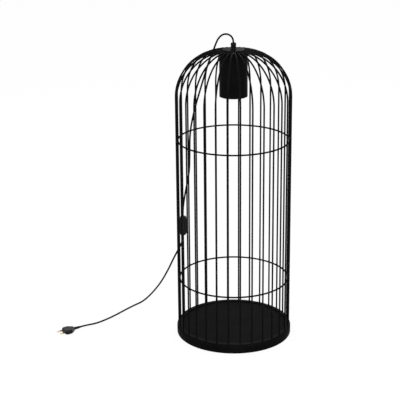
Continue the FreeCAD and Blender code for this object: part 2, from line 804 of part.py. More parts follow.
def front_shell():
    """The front half, with the rocker's window, its two bearing ears and a post for each screw."""
    shell = shell_half(-1)
    window_x, window_z = rocker_width + rocker_clearance * 2, rocker_length + rocker_clearance * 2
    shell = shell.cut(Part.makeBox(window_x, switch_thickness, window_z,
                                   Vec(-window_x / 2, -switch_thickness - cut_margin * 4, -window_z / 2)))
    ear_x = rocker_width / 2 + rocker_clearance + ear_thickness / 2 + joint_clearance * 4
    for side in (-1, 1):
        shell = shell.fuse(Part.makeBox(ear_thickness, ear_depth, ear_height,
                                        Vec(side * ear_x - ear_thickness / 2,
                                            rocker_pivot_y - ear_depth * 0.4, -ear_height / 2)))
    shell = shell.cut(across_switch(rocker_pin_radius + joint_clearance, pivot_hole_reach))
    for x, z in screw_spots():
        shell = shell.fuse(along_y(boss_radius, boss_gap - switch_depth, x, 0, z))
        shell = shell.cut(along_y(switch_screw_radius + joint_clearance * 2, switch_screw_sink
                                  + boss_gap - switch_depth, x, 0, z))
    return shell.removeSplitter()


def housing_screw(x, z):
    """A self-tapping screw from the back that holds the two halves together."""
    head_y = switch_depth - switch_screw_sink
    shank = along_y(switch_screw_radius, switch_screw_reach + head_y, x, -switch_screw_reach, z)
    head = along_y(switch_screw_head_radius, switch_screw_head_height, x, head_y, z)
    return shank.fuse(head).removeSplitter()


def rocker():
    """The rocker: two faces that meet in a shallow valley, a nose behind and its two journals."""
    half = rocker_length / 2 - rocker_end_gap
    left = -rocker_width / 2 + rocker_side_gap
    face_y = -switch_depth - rocker_proud
    back_y = rocker_pivot_y + rocker_shoulder
    back_half = half * 0.75
    points = [Vec(left, back_y, -back_half), Vec(left, face_y, -half), Vec(left, face_y + rocker_valley, 0),
              Vec(left, face_y, half), Vec(left, back_y, back_half), Vec(left, back_y + rocker_nose, 0)]
    body = Part.Face(Part.makePolygon(points + points[:1])).extrude(Vec(-left * 2, 0, 0))
    body = body.fuse(across_switch(rocker_pin_radius, rocker_pin_reach)).removeSplitter()
    body.rotate(Vec(0, rocker_pivot_y, 0), Vec(1, 0, 0), -rocker_tilt)
    return body


def contact_post(end):
    """A brass terminal block inside the switch, at the upper or the lower end."""
    low_z = end * terminal_block_offset - terminal_block / 2
    return Part.makeBox(terminal_block_width, terminal_block, terminal_block,
                        Vec(-terminal_block_width / 2, terminal_block_y, low_z))


def contact_screw(end):
    """The screw in a terminal block."""
    return along_y(block_screw_radius, block_screw_height, 0, terminal_block_y - block_screw_height,
                   end * terminal_block_offset)


# ---------------------------------------------------------------- plug, lying on the floor
def plug_frame(shape):
    """Moves a piece from the plug's frame, +X along the pins from the tail's end, to the floor."""
    copy = shape.copy()
    copy.rotate(ORIGIN, UP, math.degrees(math.atan2(plug_heading.y, plug_heading.x)))
    copy.translate(plug_tail_end)
    return copy


def along_x(radius, length, x, y=0.0):
    """A cylinder in the plug's frame, from x towards the pins."""
    return Part.makeCylinder(radius, length, Vec(x, y, 0), Vec(1, 0, 0))


def plug_body():
    """The flat moulded plug: a slotted tail on the cord that widens into the six-sided grip."""
    half_w, half_t, half_neck = plug_width / 2, plug_thickness / 2, plug_neck_width / 2
    right = [Vec(plug_tail_length, -half_neck, -half_t),
             Vec(plug_tail_length + plug_shoulder, -half_w, -half_t),
             Vec(pin_face - plug_corner_length, -half_w, -half_t),
             Vec(pin_face, plug_corner_width - half_w, -half_t)]
    left = [Vec(p.x, -p.y, p.z) for p in reversed(right)]
    grip = Part.Face(Part.makePolygon(right + left + right[:1])).extrude(Vec(0, 0, plug_thickness))
    grip = grip.makeFillet(plug_edge_radius, [e for e in grip.Edges if e.BoundBox.ZLength < 1e-6])
    tail_length = plug_tail_length + plug_edge_radius / 2
    tail = Part.makeCone(cord_radius + tail_start_wall, tail_end_radius, tail_length, ORIGIN, Vec(1, 0, 0))
    for n in range(tail_slot_count):
        x = tail_slot_start + tail_slot_pitch * n
        core = along_x(cord_radius + tail_core_wall + tail_core_growth * n, tail_slot_width, x)
        tail = tail.cut(along_x(tail_end_radius * 2, tail_slot_width, x).cut(core))
    body = grip.fuse(tail).removeSplitter()
    return cut_each(body, [along_x(pin_radius + joint_clearance, pin_root_length, pin_face - pin_root_length,
                                   side * pin_spacing / 2) for side in (-1, 1)])


def plug_pin(side):
    """A round brass pin: a root in the body, a neck inside the sleeve, and a rounded bare tip."""
    y = side * pin_spacing / 2
    root_length = pin_root_length - joint_clearance * 2
    root = along_x(pin_radius, root_length, pin_face - root_length, y)
    waist = along_x(pin_neck_radius, pin_sleeve_length, pin_face, y)
    tip = along_x(pin_radius, pin_length - pin_sleeve_length, pin_face + pin_sleeve_length, y)
    rim = [e for e in tip.Edges if e.BoundBox.XMin > pin_face + pin_length - 1e-3]
    return root.fuse([waist, tip.makeFillet(pin_tip_fillet, rim)]).removeSplitter()


def pin_sleeve(side):
    """The insulating sleeve round a pin's neck."""
    y = side * pin_spacing / 2
    bore = along_x(pin_neck_radius + pin_bore_gap, pin_sleeve_length, pin_face, y)
    return along_x(pin_radius - pin_sleeve_step, pin_sleeve_length, pin_face, y).cut(bore)


# ---------------------------------------------------------------- build and write
def export_cage():
    export("cage_wires", *round_the_axis(cage_wire(), wire_count, first_wire_angle))
    export("cage_ring_upper", cage_ring(upper_ring_height))
    export("cage_ring_lower", cage_ring(lower_ring_height))
    export("cage_foot_ring", foot_ring())
    export("cage_foot_screws", *round_the_axis(foot_screw(), foot_screw_count))


def export_base():
    export("base_cover", base_cover())
    export("base_bottom_plate", bottom_plate())
    export("base_weight", base_weight())
    export("base_pillars", *at_each_pillar(pillar()))
    export("base_plate_screws", *at_each_pillar(plate_screw()))
    export("base_felt_pads", *round_the_axis(pad(), pad_count))


def export_top():
    export("hub_plate", hub_plate())
    export("hub_washer", disc(washer_radius, washer_bottom, hub_bottom, nipple_bore))
    export("hub_nut", hub_nut())
    export("nipple", nipple())
    export("cup_collar", disc(collar_radius, cup_top, nut_bottom, nipple_bore))
    export("cord_grip", cord_grip())
    export("cord_grip_screw", grip_screw())
    export("shade_cup", cup())


def export_lampholder():
    export("lampholder_cap", holder_cap())
    export("lampholder_body", holder_body())
    export("lampholder_insulator", insulator())
    export("lampholder_screw_shell", screw_shell())
    export("lampholder_centre_contact", centre_contact())
    export("lampholder_terminal_screws", terminal_screw(-1), terminal_screw(1))
    export("cord_tail", cord_tail())
    export("lampholder_leads", lead(-1), lead(1))


def export_bulb():
    export("bulb_glass", bulb_glass())
    export("bulb_cap", bulb_cap())
    export("bulb_insulator", bulb_insulator())
    export("bulb_contact", bulb_contact())


def export_cords():
    for name, route in (("cord_upper", upper_route), ("cord_lower", lower_route)):
        edges = rounded(route)
        tube = tube_along(edges, cord_radius)
        length = sum(e.Length for e in edges)
        share = tube.Volume / (math.pi * cord_radius ** 2 * length)
        radii = " ".join(f"{r:.0f}" for r in arc_radii(edges))
        print(f"{name}: length {length:.1f}, volume share {share:.4f}, arc radii {radii}")
        export(name, tube)


def export_switch():
    export("switch_back_shell", switch_frame(back_shell()))
    export("switch_front_shell", switch_frame(front_shell()))
    export("switch_housing_screws", *[switch_frame(housing_screw(x, z)) for x, z in screw_spots()])
    export("switch_rocker", switch_frame(rocker()))
    export("switch_terminals", *[switch_frame(contact_post(end)) for end in (-1, 1)])
    export("switch_terminal_screws", *[switch_frame(contact_screw(end)) for end in (-1, 1)])


def export_plug():
    export("plug_body", plug_frame(plug_body()))
    export("plug_pins", *[plug_frame(plug_pin(side)) for side in (-1, 1)])
    export("plug_pin_sleeves", *[plug_frame(pin_sleeve(side)) for side in (-1, 1)])


def main():
    os.makedirs("parts", exist_ok=True)
    export_cage()
    export_base()
    export_top()
    export_lampholder()
    export_bulb()
    export_cords()
    export_switch()
    export_plug()


main()
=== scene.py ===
"""Wire cage floor lamp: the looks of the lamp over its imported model.

Metres, +Z up, -Y the front, the origin on the floor under the lamp's axis. Angles round the cage
are counted from the front, positive towards the right.
"""
import math

import bmesh
import bpy
from mathutils import Matrix, Vector


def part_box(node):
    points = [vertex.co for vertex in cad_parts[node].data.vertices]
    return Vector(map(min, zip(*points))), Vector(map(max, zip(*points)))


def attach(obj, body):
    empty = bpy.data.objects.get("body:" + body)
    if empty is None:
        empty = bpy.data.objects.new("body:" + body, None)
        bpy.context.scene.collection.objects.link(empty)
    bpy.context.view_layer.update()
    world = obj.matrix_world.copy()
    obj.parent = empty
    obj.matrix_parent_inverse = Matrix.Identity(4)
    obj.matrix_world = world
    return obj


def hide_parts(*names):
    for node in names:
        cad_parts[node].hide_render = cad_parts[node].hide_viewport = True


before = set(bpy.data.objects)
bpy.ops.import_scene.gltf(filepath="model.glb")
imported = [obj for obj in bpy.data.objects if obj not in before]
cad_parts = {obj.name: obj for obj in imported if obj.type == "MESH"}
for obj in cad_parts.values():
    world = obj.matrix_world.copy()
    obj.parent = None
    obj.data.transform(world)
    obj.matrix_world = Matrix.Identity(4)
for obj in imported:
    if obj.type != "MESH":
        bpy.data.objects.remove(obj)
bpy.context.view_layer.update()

bl_info = {
    "name": "Wire Cage Floor Lamp",
    "version": (1, 0, 0),
    "blender": (4, 5, 0),
    "location": "View3D > Sidebar > Lamp",
    "description": "Builds a floor lamp with a cage of bent wires, a cup, a bulb and a cord",
    "category": "Add Mesh",
}

MM = 0.001
BLACK = (0.012, 0.012, 0.013, 1.0)
WHITE = (1.0, 1.0, 1.0, 1.0)
SAME_PLACE = 1e-7  # points this close to each other, or to the axis, are one
SMOOTH_ANGLE = 35.0  # degrees; sharper edges stay sharp
WIRE_SIDES = 16
DUST_COLOUR = (0.16, 0.155, 0.15, 1.0)
DUST_ROUGHNESS = 0.9
SCUFF_ROUGHENS = 0.2

# Two half sections in millimetres, out from the side of what they stand round and up from its foot:
# the weld round a wire's foot, and the flange at the foot of the cord grip.
WELD_SECTION = [(-0.1, -0.1), (1.0, -0.1), (1.0, 0.1), (0.4, 0.4), (0.1, 1.1), (-0.1, 1.2)]
FLANGE_SECTION = [(0.7, 0.0), (1.0, 0.3), (1.0, 1.3), (0.8, 1.6), (0.0, 2.5)]

# The cord's route in millimetres, the same points as in the part's source: distance from the axis
# and height in the upright plane where the cord runs, then x, y and z of the part that leaves it.
CORD_PLANE_ANGLE = -95.0
UPPER_ROUTE = [
    (0, 921.0), (0.7, 931.8), (8.0, 942.3), (20.5, 947.5), (34.5, 944.0), (46.0, 931.5),
    (53.5, 913.5), (62.5, 889.5), (76.0, 855.0), (90.5, 808.0), (107.0, 753.0), (122.5, 697.0),
    (132.5, 640.0), (133.6, 581.0), (135.0, 522.0), (146.0, 467.0), (153.8, 424.0),
    (156.6, 397.5), (157.0, 384.0), (157.0, 369.0)]
LOWER_ROUTE_IN_PLANE = [(157.0, 323.0), (157.0, 308.0), (160.5, 291.5), (170.5, 270.0)]
LOWER_ROUTE = [
    (-185.0, 22.0, 240.0), (-207.0, 52.0, 184.0), (-233.0, 95.0, 124.0), (-258.0, 140.0, 76.0),
    (-284.0, 185.0, 32.0), (-306.0, 200.0, 8.0), (-330.0, 184.0, 2.8), (-354.0, 150.0, 2.8),
    (-380.0, 110.0, 2.8), (-408.0, 72.0, 2.8), (-440.0, 37.0, 2.8), (-473.0, 12.0, 6.85),
    (-489.0, 0.0, 6.85)]
UPPER_LENGTH, LOWER_LENGTH = 0.644, 0.68  # metres


# ---------------------------------------------------------------- shared helpers
def node_size(name):
    """The outer radius of a round node and its lowest and highest height."""
    low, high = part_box(name)
    return max(high.x, -low.x, high.y, -low.y), low.z, high.z


def around(radius, angle, height):
    """The point at that distance from the axis, angle degrees from the front."""
    a = math.radians(angle)
    return Vector((radius * math.sin(a), -radius * math.cos(a), height))


def add_mesh(name, bm, smooth_angle=SMOOTH_ANGLE, recalc=True):
    """A new piece from a bmesh, smooth except at edges sharper than the angle."""
    bmesh.ops.remove_doubles(bm, verts=bm.verts, dist=SAME_PLACE)
    if recalc:
        bmesh.ops.recalc_face_normals(bm, faces=bm.faces)
    mesh = bpy.data.meshes.new(name)
    bm.to_mesh(mesh)
    bm.free()
    mesh.shade_smooth()
    mesh.set_sharp_from_angle(angle=math.radians(smooth_angle))
    piece = bpy.data.objects.new(name, mesh)
    bpy.context.scene.collection.objects.link(piece)
    return piece


def finish(piece, material, instead_of, body="lamp"):
    """Gives a piece its finish, its body and the nodes that it stands for."""
    piece.data.materials.clear()
    piece.data.materials.append(material)
    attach(piece, body)
    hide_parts(*instead_of)


def dress(material, *nodes):
    """Puts a material on modelled nodes that keep their shape."""
    for name in nodes:
        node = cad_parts[name]
        if not node.material_slots:
            node.data.materials.append(material)
        for slot in node.material_slots:
            slot.material = material


def arc(centre_r, centre_z, radius, start, end, count):
    """Points of an arc in a half section, from one angle to another in degrees."""
    angles = [math.radians(start + (end - start) * n / count) for n in range(count + 1)]
    return [(centre_r + radius * math.cos(a), centre_z + radius * math.sin(a)) for a in angles]


def lathe(bm, profile, segments, origin=Vector((0, 0, 0))):
    """Turns a closed half section of (radius, height) points round an upright axis."""
    rings = []
    for r, z in profile:
        if r < SAME_PLACE:
            rings.append([bm.verts.new(origin + Vector((0, 0, z)))])
            continue
        ring = []
        for n in range(segments):
            a = math.tau * n / segments
            ring.append(bm.verts.new(origin + Vector((r * math.cos(a), r * math.sin(a), z))))
        rings.append(ring)
    for low, high in zip(rings, rings[1:] + rings[:1]):
        for n in range(segments):
            m = (n + 1) % segments
            corners = (low[n % len(low)], low[m % len(low)],
                       high[m % len(high)], high[n % len(high)])
            unique = list(dict.fromkeys(corners))
            if len(unique) > 2:
                bm.faces.new(unique)
    return bm


def turned_piece(name, profile, segments, smooth_angle=SMOOTH_ANGLE):
    """A piece turned on a lathe."""
    return add_mesh(name, lathe(bmesh.new(), profile, segments), smooth_angle)


# ---------------------------------------------------------------- node helpers
def add_node(tree, kind, links=None, **settings):
    """A node with its settings, its inputs given as values or as sockets to link."""
    node = tree.nodes.new(kind)
    for key, value in settings.items():
        setattr(node, key, value)
    for key, value in (links or {}).items():
        if isinstance(value, bpy.types.NodeSocket):
            tree.links.new(value, node.inputs[key])
        else:
            node.inputs[key].default_value = value
    return node


class NodeTree:
    """A node tree that is written as a list of nodes, with its inputs kept by name."""

    def __init__(self, name, kind, inputs):
        self.tree = bpy.data.node_groups.new(name, kind)
        self.identifiers = {}
        for label, socket_kind, default in inputs:
            socket = self.tree.interface.new_socket(
                label, in_out="INPUT", socket_type="NodeSocket" + socket_kind)
            if default is not None:
                socket.default_value = default
            self.identifiers[label] = socket.identifier
        self.inputs = self.add("NodeGroupInput").outputs

    def add(self, kind, links=None, **settings):
        """A node of this tree."""
        return add_node(self.tree, kind, links, **settings)

    def maths(self, operation, a, b=0.0):
        """The result of one sum on numbers."""
        return self.add("ShaderNodeMath", {0: a, 1: b}, operation=operation).outputs[0]


class ShapeTree(NodeTree):
    """A geometry node tree."""

    def __init__(self, name, inputs):
        super().__init__(name, "GeometryNodeTree", inputs)
        self.tree.interface.new_socket(
            "Geometry", in_out="OUTPUT", socket_type="NodeSocketGeometry")
        self.output = self.add("NodeGroupOutput").inputs[0]

    def angle_of_copy(self):
        """The angle of each of the copies round the axis, from the inputs Count and First angle."""
        index = self.add("GeometryNodeInputIndex").outputs[0]
        step = self.maths("DIVIDE", math.tau, self.inputs["Count"])
        return self.maths("ADD", self.maths("MULTIPLY", index, step), self.inputs["First angle"])

    def point(self, x=0.0, y=0.0, z=0.0):
        """A vector from three numbers."""
        return self.add("ShaderNodeCombineXYZ", {0: x, 1: y, 2: z}).outputs[0]

    def copies_round_axis(self, shape):
        """Equal copies of a shape, turned round the axis."""
        points = self.add("GeometryNodePoints", {
            "Count": self.inputs["Count"], "Position": (0, 0, 0)})
        return self.add("GeometryNodeInstanceOnPoints", {
            "Points": points.outputs[0], "Instance": shape,
            "Rotation": self.point(z=self.angle_of_copy())}).outputs[0]

    def round_section(self, radius):
        """The round section of a wire."""
        return self.add("GeometryNodeCurvePrimitiveCircle", {
            "Resolution": WIRE_SIDES, "Radius": radius}).outputs[0]

    def close(self, geometry, material):
        """Ends the tree: real geometry, smooth, with its material."""
        real = self.add("GeometryNodeRealizeInstances", {0: geometry}).outputs[0]
        smooth = self.add("GeometryNodeSetShadeSmooth", {0: real}).outputs[0]
        last = self.add("GeometryNodeSetMaterial", {"Geometry": smooth, "Material": material})
        self.tree.links.new(last.outputs[0], self.output)


def grown_piece(name, tree, values):
    """A plain mesh piece made by a node tree from named values."""
    piece = bpy.data.objects.new(name, bpy.data.meshes.new(name))
    bpy.context.scene.collection.objects.link(piece)
    modifier = piece.modifiers.new(name, "NODES")
    modifier.node_group = tree.tree
    for label, value in values.items():
        modifier[tree.identifiers[label]] = value
    bpy.context.view_layer.update()
    evaluated = piece.evaluated_get(bpy.context.evaluated_depsgraph_get())
    mesh = bpy.data.meshes.new_from_object(evaluated)
    piece.modifiers.remove(modifier)
    piece.data = mesh
    mesh.name = name
    mesh.set_sharp_from_angle(angle=math.radians(SMOOTH_ANGLE))
    return piece


def tree_around_axis():
    """Equal copies of a template piece round the lamp's axis."""
    tree = ShapeTree("Around the axis", [
        ("Template", "Object", None), ("Count", "Int", 6), ("First angle", "Float", 0.0),
        ("Material", "Material", None)])
    shape = tree.add("GeometryNodeObjectInfo", {"Object": tree.inputs["Template"]})
    tree.close(tree.copies_round_axis(shape.outputs["Geometry"]), tree.inputs["Material"])
    return tree


def tree_cage_wires():
    """The wires: upright, quarter bend and the run under the top plate, copied round the axis."""
    tree = ShapeTree("Cage wires", [
        ("Count", "Int", 30), ("First angle", "Float", 0.0), ("Circle radius", "Float", 0.17),
        ("Foot height", "Float", 0.03), ("Top height", "Float", 0.9), ("End radius", "Float", 0.03),
        ("Bend radius", "Float", 0.14), ("Wire radius", "Float", 0.0025),
        ("Material", "Material", None)])
    get = tree.inputs
    back = tree.maths("MULTIPLY", get["Circle radius"], -1.0)
    end = tree.maths("MULTIPLY", get["End radius"], -1.0)
    line = tree.add("GeometryNodeMeshLine", {"Count": 3}).outputs[0]
    index = tree.add("GeometryNodeInputIndex").outputs[0]
    choice = tree.add("GeometryNodeIndexSwitch", data_type="VECTOR")
    choice.index_switch_items.new()
    tree.tree.links.new(index, choice.inputs["Index"])
    corners = [tree.point(y=back, z=get["Foot height"]), tree.point(y=back, z=get["Top height"]),
               tree.point(y=end, z=get["Top height"])]
    for socket, corner in zip(list(choice.inputs)[1:4], corners):
        tree.tree.links.new(corner, socket)
    placed = tree.add("GeometryNodeSetPosition", {"Geometry": line, "Position": choice.outputs[0]})
    path = tree.add("GeometryNodeMeshToCurve", {"Mesh": placed.outputs[0]})
    bend = tree.add("GeometryNodeFilletCurve", {"Curve": path.outputs[0], "Count": 28,
                                                "Radius": get["Bend radius"]}, mode="POLY")
    wire = tree.add("GeometryNodeCurveToMesh", {
        "Curve": bend.outputs[0], "Profile Curve": tree.round_section(get["Wire radius"]),
        "Fill Caps": True})
    tree.close(tree.copies_round_axis(wire.outputs[0]), get["Material"])
    return tree


def tree_hoop():
    """A hoop of round wire with a small weld bead at each upright."""
    tree = ShapeTree("Welded hoop", [
        ("Radius", "Float", 0.17), ("Height", "Float", 0.5), ("Wire radius", "Float", 0.0025),
        ("Count", "Int", 30), ("First angle", "Float", 0.0), ("Bead radius", "Float", 0.002),
        ("Bead circle", "Float", 0.17), ("Material", "Material", None)])
    get = tree.inputs
    circle = tree.add("GeometryNodeCurvePrimitiveCircle", {
        "Resolution": 120, "Radius": get["Radius"]})
    hoop = tree.add("GeometryNodeCurveToMesh", {
        "Curve": circle.outputs[0], "Profile Curve": tree.round_section(get["Wire radius"])})
    angle = tree.angle_of_copy()
    along = tree.maths("MULTIPLY", tree.maths("SINE", angle), get["Bead circle"])
    back = tree.maths("MULTIPLY", tree.maths("COSINE", angle), get["Bead circle"])
    spots = tree.add("GeometryNodePoints", {
        "Count": get["Count"], "Position": tree.point(along, tree.maths("MULTIPLY", back, -1.0))})
    bead = tree.add("GeometryNodeMeshUVSphere", {
        "Segments": 12, "Rings": 8, "Radius": get["Bead radius"]})
    beads = tree.add("GeometryNodeInstanceOnPoints", {
        "Points": spots.outputs[0], "Instance": bead.outputs[0], "Rotation": tree.point(z=angle),
        "Scale": (1.15, 0.8, 1.3)})
    both = tree.add("GeometryNodeJoinGeometry")
    tree.tree.links.new(hoop.outputs[0], both.inputs[0])
    tree.tree.links.new(beads.outputs[0], both.inputs[0])
    lifted = tree.add("GeometryNodeTransform", {"Geometry": both.outputs[0],
                                                "Translation": tree.point(z=get["Height"])})
    tree.close(lifted.outputs[0], get["Material"])
    return tree


# ---------------------------------------------------------------- shader groups
class Effect(NodeTree):
    """A shader node group with named inputs and outputs."""

    def __init__(self, name, inputs, outputs):
        super().__init__(name, "ShaderNodeTree", inputs)
        for label, kind in outputs:
            self.tree.interface.new_socket(
                label, in_out="OUTPUT", socket_type="NodeSocket" + kind)
        self.out = self.add("NodeGroupOutput").inputs

    def noise(self, vector, scale, detail, roughness=0.5):
        """The strength of a noise at each place."""
        return self.add("ShaderNodeTexNoise", {
            "Vector": vector, "Scale": scale, "Detail": detail, "Roughness": roughness}).outputs[0]

    def noise_of_size(self, vector, size, detail, roughness):
        """A noise whose features have that size in metres."""
        return self.noise(vector, self.maths("DIVIDE", 1.0, size), detail, roughness)

    def ranged(self, value, low, high, to_low=0.0, to_high=1.0):
        """A value moved from one range to another."""
        return self.add("ShaderNodeMapRange", {
            "Value": value, "From Min": low, "From Max": high, "To Min": to_low,
            "To Max": to_high}).outputs[0]

    def give(self, label, socket):
        """Links a result to an output."""
        self.tree.links.new(socket, self.out[label])


def mix_colours(tree, share, first, second):
    """Two colours mixed by a share of the second."""
    return add_node(tree, "ShaderNodeMix", {0: share, 6: first, 7: second},
                    data_type="RGBA").outputs[2]


def mix_values(tree, share, first, second):
    """Two numbers mixed by a share of the second."""
    return add_node(tree, "ShaderNodeMix", {0: share, 2: first, 3: second},
                    data_type="FLOAT").outputs[0]


def effect_grain():
    """Fine grain with slow patches: a colour, a roughness and a height that all vary a little."""
    group = Effect("Surface grain", [
        ("Vector", "Vector", None), ("Colour", "Color", BLACK), ("Light colour", "Color", BLACK),
        ("Grain size", "Float", 0.001), ("Patch size", "Float", 0.05), ("Smooth", "Float", 0.4),
        ("Rough", "Float", 0.5)],
        [("Colour", "Color"), ("Roughness", "Float"), ("Height", "Float")])
    get = group.inputs
    fine = group.noise_of_size(get["Vector"], get["Grain size"], detail=3.0, roughness=0.55)
    slow = group.noise_of_size(get["Vector"], get["Patch size"], detail=4.0, roughness=0.6)
    lighter = group.ranged(group.maths("MULTIPLY", fine, slow), low=0.12, high=0.42)
    group.give("Colour", mix_colours(group.tree, lighter, get["Colour"], get["Light colour"]))
    rough = group.ranged(slow, low=0.3, high=0.7, to_low=get["Smooth"], to_high=get["Rough"])
    group.give("Roughness", rough)
    group.give("Height", fine)
    return group.tree


def effect_scuffs():
    """A mask of short rubbed streaks, over more of the surface as the amount rises."""
    group = Effect("Scuffs", [
        ("Vector", "Vector", None), ("Streak size", "Float", 0.004),
        ("Stretch", "Vector", (1.0, 1.0, 0.15)), ("Amount", "Float", 0.3)], [("Mask", "Float")])
    get = group.inputs
    stretched = group.add("ShaderNodeVectorMath", {0: get["Vector"], 1: get["Stretch"]},
                          operation="MULTIPLY").outputs[0]
    streaks = group.noise_of_size(stretched, get["Streak size"], detail=5.0, roughness=0.7)
    where = group.noise(get["Vector"], scale=14.0, detail=2.0)
    both = group.maths("MULTIPLY", streaks, where)
    least = group.ranged(get["Amount"], low=0.0, high=1.0, to_low=0.46, to_high=0.22)
    fade = 0.1
    group.give("Mask", group.ranged(both, low=least, high=group.maths("ADD", least, fade)))
    return group.tree


def effect_dust():
    """A mask of fine dust on whatever faces up."""
    group = Effect("Settled dust", [
        ("Vector", "Vector", None), ("Amount", "Float", 0.3)], [("Mask", "Float")])
    get = group.inputs
    normal = group.add("ShaderNodeNewGeometry").outputs["Normal"]
    up = group.add("ShaderNodeSeparateXYZ", {0: normal}).outputs[2]
    level = group.ranged(up, low=0.55, high=0.98)
    specks = group.noise(get["Vector"], scale=420.0, detail=6.0)
    cloud = group.noise(get["Vector"], scale=16.0, detail=3.0)
    lies = group.ranged(group.maths("MULTIPLY", specks, cloud), low=0.12, high=0.4)
    mask = group.maths("MULTIPLY", lies, level)
    group.give("Mask", group.maths("MULTIPLY", mask, get["Amount"]))
    return group.tree


def seen_directly(tree):
    """1 for what the camera, a reflection or a look through glass sees, 0 for light on the lamp."""
    path = add_node(tree, "ShaderNodeLightPath").outputs
    either = add_node(tree, "ShaderNodeMath", {
        0: path["Is Camera Ray"], 1: path["Is Glossy Ray"]}, operation="MAXIMUM")
    return add_node(tree, "ShaderNodeMath", {
        0: either.outputs[0], 1: path["Is Transmission Ray"]}, operation="MAXIMUM").outputs[0]


class Finishes:
    """The lamp's finishes, made once and looked up by name."""

    def __init__(self):
        self.grain = effect_grain()
        self.scuffs = effect_scuffs()
        self.dust = effect_dust()
        self.made = {}

    def make(self, name, colour, light, grain=0.0008, patch=0.04, smooth=0.35, rough=0.5, bump=0.1,
             bump_distance=0.0002, scuff=0.0, scuff_colour=BLACK, stretch=(1, 1, 0.15), dust=0.0,
             stretch_grain=(1, 1, 1), **shader):
        """One finish: grain, scuffs and dust over one shader, whose fixed values come by name."""
        material = bpy.data.materials.new(name)
        material.use_nodes = True
        tree = material.node_tree
        surface = tree.nodes["Principled BSDF"]
        for label, value in shader.items():
            surface.inputs[label.replace("_", " ")].default_value = value
        place = add_node(tree, "ShaderNodeTexCoord").outputs["Object"]
        vector = add_node(tree, "ShaderNodeMapping", {
            "Vector": place, "Scale": stretch_grain}).outputs[0]
        base = add_node(tree, "ShaderNodeGroup", {
            "Vector": vector, "Colour": colour, "Light colour": light, "Grain size": grain,
            "Patch size": patch, "Smooth": smooth, "Rough": rough}, node_tree=self.grain).outputs
        shade, roughness = base["Colour"], base["Roughness"]
        if scuff:
            mask = add_node(tree, "ShaderNodeGroup", {
                "Vector": place, "Amount": scuff, "Stretch": stretch},
                node_tree=self.scuffs).outputs[0]
            shade = mix_colours(tree, mask, shade, scuff_colour)
            roughness = mix_values(tree, mask, roughness, min(1.0, rough + SCUFF_ROUGHENS))
        if dust:
            mask = add_node(tree, "ShaderNodeGroup", {"Vector": place, "Amount": dust},
                            node_tree=self.dust).outputs[0]
            shade = mix_colours(tree, mask, shade, DUST_COLOUR)
            roughness = mix_values(tree, mask, roughness, DUST_ROUGHNESS)
        relief = add_node(tree, "ShaderNodeBump", {
            "Strength": bump, "Distance": bump_distance, "Height": base["Height"]})
        tree.links.new(shade, surface.inputs["Base Color"])
        tree.links.new(roughness, surface.inputs["Roughness"])
        tree.links.new(relief.outputs[0], surface.inputs["Normal"])
        self.made[name] = material

    def __getitem__(self, name):
        return self.made[name]


def opaque(colour, lift=1.0):
    """A colour of three numbers with its alpha, lighter by a factor."""
    return tuple(min(1.0, c * lift) for c in colour) + (1.0,)


def grey(value):
    """An opaque grey."""
    return opaque((value, value, value))


